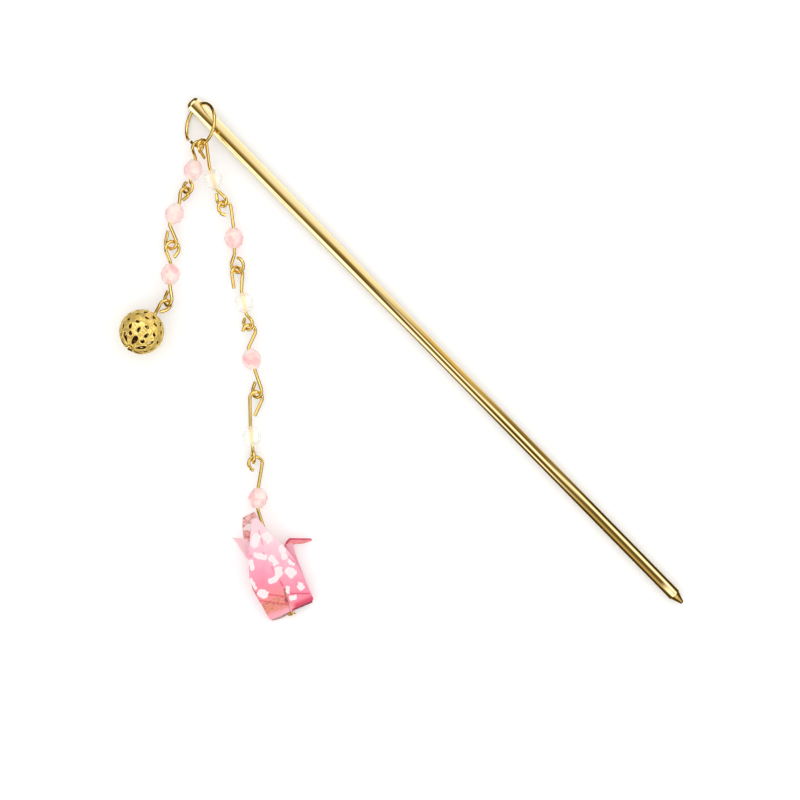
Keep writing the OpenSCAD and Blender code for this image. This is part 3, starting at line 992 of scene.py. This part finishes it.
class Folds:
    """Gathers folded sheets: points, faces, and at each point its place on the print and its ink, which
    holds painted shade as well.
    """

    def __init__(self):
        self.points, self.faces, self.prints, self.inks = [], [], [], []

    def grid(self, rows, under):
        """Rows of (point, place on the print, ink with painted shade). The printed face is below if under
        is true.
        """
        first, wide = len(self.points), len(rows[0])
        for point, place, ink in (spot for row in rows for spot in row):
            self.points.append(point)
            self.prints.append(place)
            self.inks.append(ink)
        for j in range(len(rows) - 1):
            for k in range(wide - 1):
                a = first + j * wide + k
                corners = (a, a + 1, a + wide + 1, a + wide)
                self.faces.append(corners[::-1] if under else corners)

    def sheet(self, ups, sides, height, place, ink, print_at=0, under=False):
        """A sheet with a row at each height up. Sides, height and ink are functions."""
        widest = max((sides(y) for y in ups), key=lambda pair: pair[1] - pair[0])
        places = columns(*widest, ups[1] - ups[0])
        shares = [(x - widest[0]) / (widest[1] - widest[0]) for x in places]
        rows = []
        for y in ups:
            left, right = sides(y)
            row = []
            for share in shares:
                x = left + share * (right - left)
                row.append((place @ Vector((x, y, height(x, y))), (x + print_at, y), ink(x, y)))
            rows.append(row)
        self.grid(rows, under)

    def limb(self, lines, inks, print_at):
        """A narrow strip folded along both sides, with two layers up to where the upper one ends."""
        for under in (False, True):
            rows = []
            for left, right, layer in finer(lines):
                row = []
                for k in range(LIMB_COLUMNS + 1):
                    share = (1 - math.cos(math.pi * k / LIMB_COLUMNS)) / 2
                    x, y = left.lerp(right, share)
                    crown = 4 * share * (1 - share)
                    z = FOLD_Z + (-1 if under else 1) * (FOLD_R * min(1, 5 * crown) + FAR_CROWN * crown)
                    if share > layer and not under:
                        z -= LIMB_LAYER_T * min(1, 4 * crown)
                    row.append((LIMB @ Vector((x, y, z)), (x + print_at, y), inks(share, layer)))
                rows.append(row)
            self.grid(rows, under)


def finer(lines):
    """The lines across a limb with more between them."""
    more = []
    for (a, b, first), (c, d, second) in zip(lines, lines[1:]):
        a, b, c, d = (Vector(p) for p in (a, b, c, d))
        count = math.ceil(max((c - a).length, (d - b).length) / (3 * STEP))
        for i in range(count):
            more.append((a.lerp(c, i / count), b.lerp(d, i / count), first + (second - first) * i / count))
    return more + [(Vector(lines[-1][0]), Vector(lines[-1][1]), lines[-1][2])]


def daylight(red, green, blue):
    """An ink or paper colour as it looks in daylight, from 0 to 255, as a shader's colour."""
    return (*((c / 255) ** 2.2 for c in (red, green, blue)), 1)


# Petals printed on the near wing. Columns: across, up, length, width, turn
PETALS = [
    (-0.6, 14.6, 2.6, 1.5, -130), (1.5, 14.2, 2.2, 1.5, -80), (-1.05, 11.7, 2.7, 1.2, -40),
    (0.85, 10, 2.1, 1.1, -75), (0.8, 7.6, 2.2, 1.2, -110), (-0.4, 6.7, 2.3, 1.1, -175),
    (2.95, 10.7, 2.8, 1.1, -95), (3.65, 8.3, 1.6, 0.7, -55), (2.8, 6.8, 2.1, 1.7, -55),
    (3.4, 3.7, 1.7, 1.4, -60), (1.15, 4.1, 1.6, 0.8, -115), (-3.2, 5, 1.9, 1.6, -40),
    (1.4, 2.35, 1.5, 1.1, -5), (-3.1, 10.7, 2.1, 1, -95), (-4.3, 7.4, 2.4, 1, -85),
]
# Others are strewn: how far apart, and the middle and half width of the part of the print with them
PETAL_SCATTER = 2.4
PETALS_AT = 54.5
PETALS_HALF = 35.5
TEAR = 1.1
# The print's pinks up the wing. Columns: share of the way to its tip, ink
PINKS = [
    (0.03, (248, 160, 175)), (0.16, (248, 126, 150)), (0.3, (248, 132, 158)),
    (0.5, (250, 160, 184)), (0.66, (248, 184, 202)), (0.85, (248, 206, 214)),
]


def bare_petals(tone, torn, across):
    """1 in the petals, which are left bare of ink, and 0 outside."""
    nearest = 9
    for x, y, length, width, turn in PETALS:
        petal = tone.node("Mapping", {"vector_type": "TEXTURE"}, {
            "Vector": torn, "Location": (x + TEAR / 2, y + TEAR / 2, 0),
            "Rotation": (0, 0, math.radians(turn)), "Scale": (length / 2, width / 2, 1),
        })
        petal = tone.node("VectorMath", {"operation": "MULTIPLY"}, {0: petal, 1: petal})
        reach = tone.node("VectorMath", {"operation": "LENGTH"}, {0: petal}, out="Value")
        nearest = tone.math("MINIMUM", reach, nearest)
    cell = tone.node("Mapping", {}, {"Vector": torn, "Rotation": (0, 0, 0.7), "Scale": (1, 1.7, 1)})
    strewn = tone.node("TexVoronoi", {}, {"Vector": cell, "Scale": 1 / PETAL_SCATTER})
    plain = tone.math("GREATER_THAN", tone.math("ABSOLUTE", across - PETALS_AT), PETALS_HALF)
    petal = tone.math("MAXIMUM", 1 - nearest, 1 - 2.6 * strewn - 9 * plain)
    return past(petal, -0.05, 0.2)


def gilt_lines(tone, place, torn, gilt, cloud):
    """1 in the broken gilt veins, and where the gilt is solid."""
    veins = tone.node("Mapping", {}, {"Vector": torn, "Rotation": (0, 0, 0.3), "Scale": (1, 1.8, 1)})
    veins = tone.node("TexVoronoi", {"feature": "DISTANCE_TO_EDGE"}, {"Vector": veins, "Scale": 0.9})
    line = tone.math("LESS_THAN", veins, 0.3 * noise(place, 3, 2) - 0.11)
    line = line * tone.math("GREATER_THAN", gilt + 0.6 * cloud, 0.75)
    return tone.math("MAXIMUM", line, tone.math("GREATER_THAN", gilt, 1.1))


def washi_print(tone):
    place = tone.node("UVMap", {"uv_map": "print"}, {})
    across, up = (tone.node("SeparateXYZ", {}, {0: place}, out=k) for k in range(2))
    # Per point: deep, warm and gilt ink, with painted shade in the deep share and in the gilt along the
    # slit
    inks = tone.node("Attribute", {"attribute_name": "inks"}, {}, out="Vector")
    deep, warm, gilt = (tone.node("SeparateXYZ", {}, {0: inks}, out=k) for k in range(3))
    ripple = {0: noise(place, 0.9, 2, "Color"), 1: (TEAR, TEAR, 0), 2: place}
    torn = tone.node("VectorMath", {"operation": "MULTIPLY_ADD"}, ripple)
    cloud = noise(place, 0.8, 3)
    petal = bare_petals(tone, torn, across)
    line = gilt_lines(tone, place, torn, gilt, cloud)
    speck = tone.math("LESS_THAN", tone.node("TexVoronoi", {}, {"Vector": place, "Scale": 1.3}), 0.07)

    lighter = tone.node("MapRange", {}, {0: across, 1: -2.5, 2: 2.5, 3: -0.22, 4: 0})
    rise = up * (1 / NEAR_EDGES[-1][0]) + 0.24 * cloud + lighter
    stops = [(share, daylight(*ink)) for share, ink in PINKS]
    dyed = tone.node("ValToRGB", {"stops": stops}, {"Fac": rise})
    # The deep ink and its maroon also paint shade where the deep share holds it, and the gilt line does
    # along the slit's upper part
    for share, ink in (
        (warm, (243, 133, 130)), (gilt * cloud, (226, 132, 92)), (deep, (216, 20, 82)),
        (past(deep, 0.93, 1) * 0.8, (104, 22, 36)), (line * 0.75, (172, 96, 62)),
        (speck * 0.7, (170, 40, 70)),
    ):
        dyed = tone.mix(share, dyed, daylight(*ink))
    bare = tone.mix(cloud, daylight(248, 238, 238), daylight(244, 222, 224))
    dyed = tone.mix(petal, dyed, bare)

    fibre = tone.node("Mapping", {}, {"Vector": place, "Scale": (2, 9, 1)})
    fibre = noise(fibre, 1.5, 4, Distortion=1)
    return {
        "Base Color": tone.mix(fibre * 0.12, dyed, (1, 1, 1, 1)),
        "Metallic": line * 0.3,
        "Roughness": 0.82 - 0.4 * line + 0.08 * fibre,
        "Normal": bump(fibre + 0.3 * petal, 0.35, 0.05),
    }


def washi_back(tone):
    fibre = noise(tone.place(), 1500, 4, Distortion=1)
    return {
        "Base Color": tone.mix(fibre, daylight(250, 232, 232), daylight(236, 222, 214)),
        "Normal": bump(fibre, 0.3, 0.05),
    }


def rows_up(outline, step):
    """The heights of a wing's rows, from its bottom to its tip."""
    count = math.ceil((outline[-1][0] - BOTTOM_UP) / step)
    return [BOTTOM_UP + (outline[-1][0] - BOTTOM_UP) * i / count for i in range(count + 1)]


def left_flap(y):
    middle, gape = slit(y)
    return edges(NEAR_EDGES, y)[0], middle - gape


def right_flap(y):
    middle, gape = slit(y)
    return middle + gape, edges(NEAR_EDGES, y)[1]


# The neck's deep left edge is partly dye, partly painted shade
def neck_ink_and_shade(share, layer):
    return max(0.2, 0.97 - 1.1 * soft(0.05, 0.5, share)), 0, 0


# The head's deep upper band is partly dye, partly painted shade
def head_ink_and_shade(share, layer):
    return (0.95, 0, 0) if share < layer else (0.2, 0.8, 0.6 * soft(0.6, 1, share))


def tail_ink(share, layer):
    return 0, 0.15 if share < layer else 0, 0


def bottom(flap):
    """Rows of the sheet from the near wing's lower edge, round under the crane, to the far wing's."""
    rows = []
    for t in (i / BOTTOM_STEPS for i in range(BOTTOM_STEPS + 1)):
        row = []
        for x in columns(*flap(BOTTOM_UP), STEP):
            far_x = max(-FAR_BOTTOM, min(FAR_BOTTOM, x))
            start = NEAR_WING @ Vector((x, BOTTOM_UP, near_face(x, BOTTOM_UP)))
            over = CRANE @ Vector((x, -BELLY, BELLY_TOP))
            below = CRANE @ Vector((far_x, -BELLY, BELLY))
            end = FAR_WING @ Vector((far_x, BOTTOM_UP, far_under(far_x, BOTTOM_UP)))
            first = start.lerp(over, t).lerp(over.lerp(below, t), t)
            second = over.lerp(below, t).lerp(below.lerp(end, t), t)
            # The bottom takes the near wing's ink at its lower edge, with the painted shade where the
            # sheet turns under
            row.append((first.lerp(second, t), (x, BOTTOM_UP - t), near_ink(x, BOTTOM_UP)))
        rows.append(row)
    return rows


def hemmed(row, out):
    """A row of the bottom, bowed outwards and down, but not below the table."""
    last = len(row) - 1
    loose = []
    for k, (point, place, ink) in enumerate(row):
        bow = 4 * k * (last - k) / last ** 2
        point = point + CRANE.to_3x3() @ Vector((0, -out * bow, -HEM_DROP * bow * (1 - out)))
        point.z = max(point.z, 0.01)
        loose.append((point, place, ink))
    return loose


# The number of each sheet and limb is how far across the print it lies
folds = Folds()
ups = rows_up(NEAR_EDGES, STEP)
folds.sheet(ups, left_flap, near_face, NEAR_WING, near_ink)
folds.sheet(ups, right_flap, near_face, NEAR_WING, near_ink)
for outline, way, place, ink, print_at in (
    (NEAR_EDGES, -1, NEAR_WING, hidden_ink, 40),
    (FAR_EDGES, 1, FAR_WING, far_ink, 20),
    (FAR_EDGES, -1, FAR_WING, hidden_ink, 60),
):
    ups = rows_up(outline, 2 * STEP)
    height = smooth_face(outline, way)
    folds.sheet(ups, lambda y: edges(outline, y), height, place, ink, print_at, under=way < 0)
rows = bottom(left_flap)
half = BOTTOM_STEPS // 2
folds.grid(rows[:half], under=True)
folds.grid([hemmed(row, HEM_OUT * (1 - i / half)) for i, row in enumerate(rows[half:])], under=True)
folds.grid(bottom(right_flap), under=True)
folds.limb(NECK_LINES, neck_ink_and_shade, 100)
folds.limb(HEAD_LINES, head_ink_and_shade, 120)
folds.limb(TAIL_LINES, tail_ink, 140)
folds.limb(HUMP_LINES, tail_ink, 160)

washi = [
    paint("washi_print", {"Specular IOR Level": 0.3}, washi_print),
    paint("washi_back", {"Roughness": 0.9, "Specular IOR Level": 0.2}, washi_back),
]
crane = shape("paper_crane_folded", folds.points, folds.faces, washi)
crane.data.uv_layers.new(name="print")
crane.data.attributes.new("inks", "FLOAT_VECTOR", "CORNER")
corners = [loop.vertex_index for loop in crane.data.loops]
crane.data.uv_layers["print"].uv.foreach_set("vector", np.array(folds.prints)[corners].ravel())
crane.data.attributes["inks"].data.foreach_set("vector", np.array(folds.inks)[corners].ravel())
joined = bmesh.new()
joined.from_mesh(crane.data)
bmesh.ops.remove_doubles(joined, verts=joined.verts, dist=0.001 * MM)
joined.to_mesh(crane.data)
joined.free()
worked(crane, "SOLIDIFY", thickness=PAPER_T * MM, offset=-1, material_offset=1, material_offset_rim=1)
finished(crane, "paper_crane", sharp=40)

# The crane's head pin has its eye in the long strand's last eye. It runs straight through the last
# bead, down between the wings and out at the bottom fold, where its flat head stops it.
CRANE_PIN_END = (17.9, 91.2, 0.9)
head_pin(
    "crane_pin_plain", "crane_pin",
    eye_path(LONG_TOP_EYES[5])[::-1] + [to_row(CRANE_BEAD_LOW), to_row(CRANE_PIN_END)], 0,
)
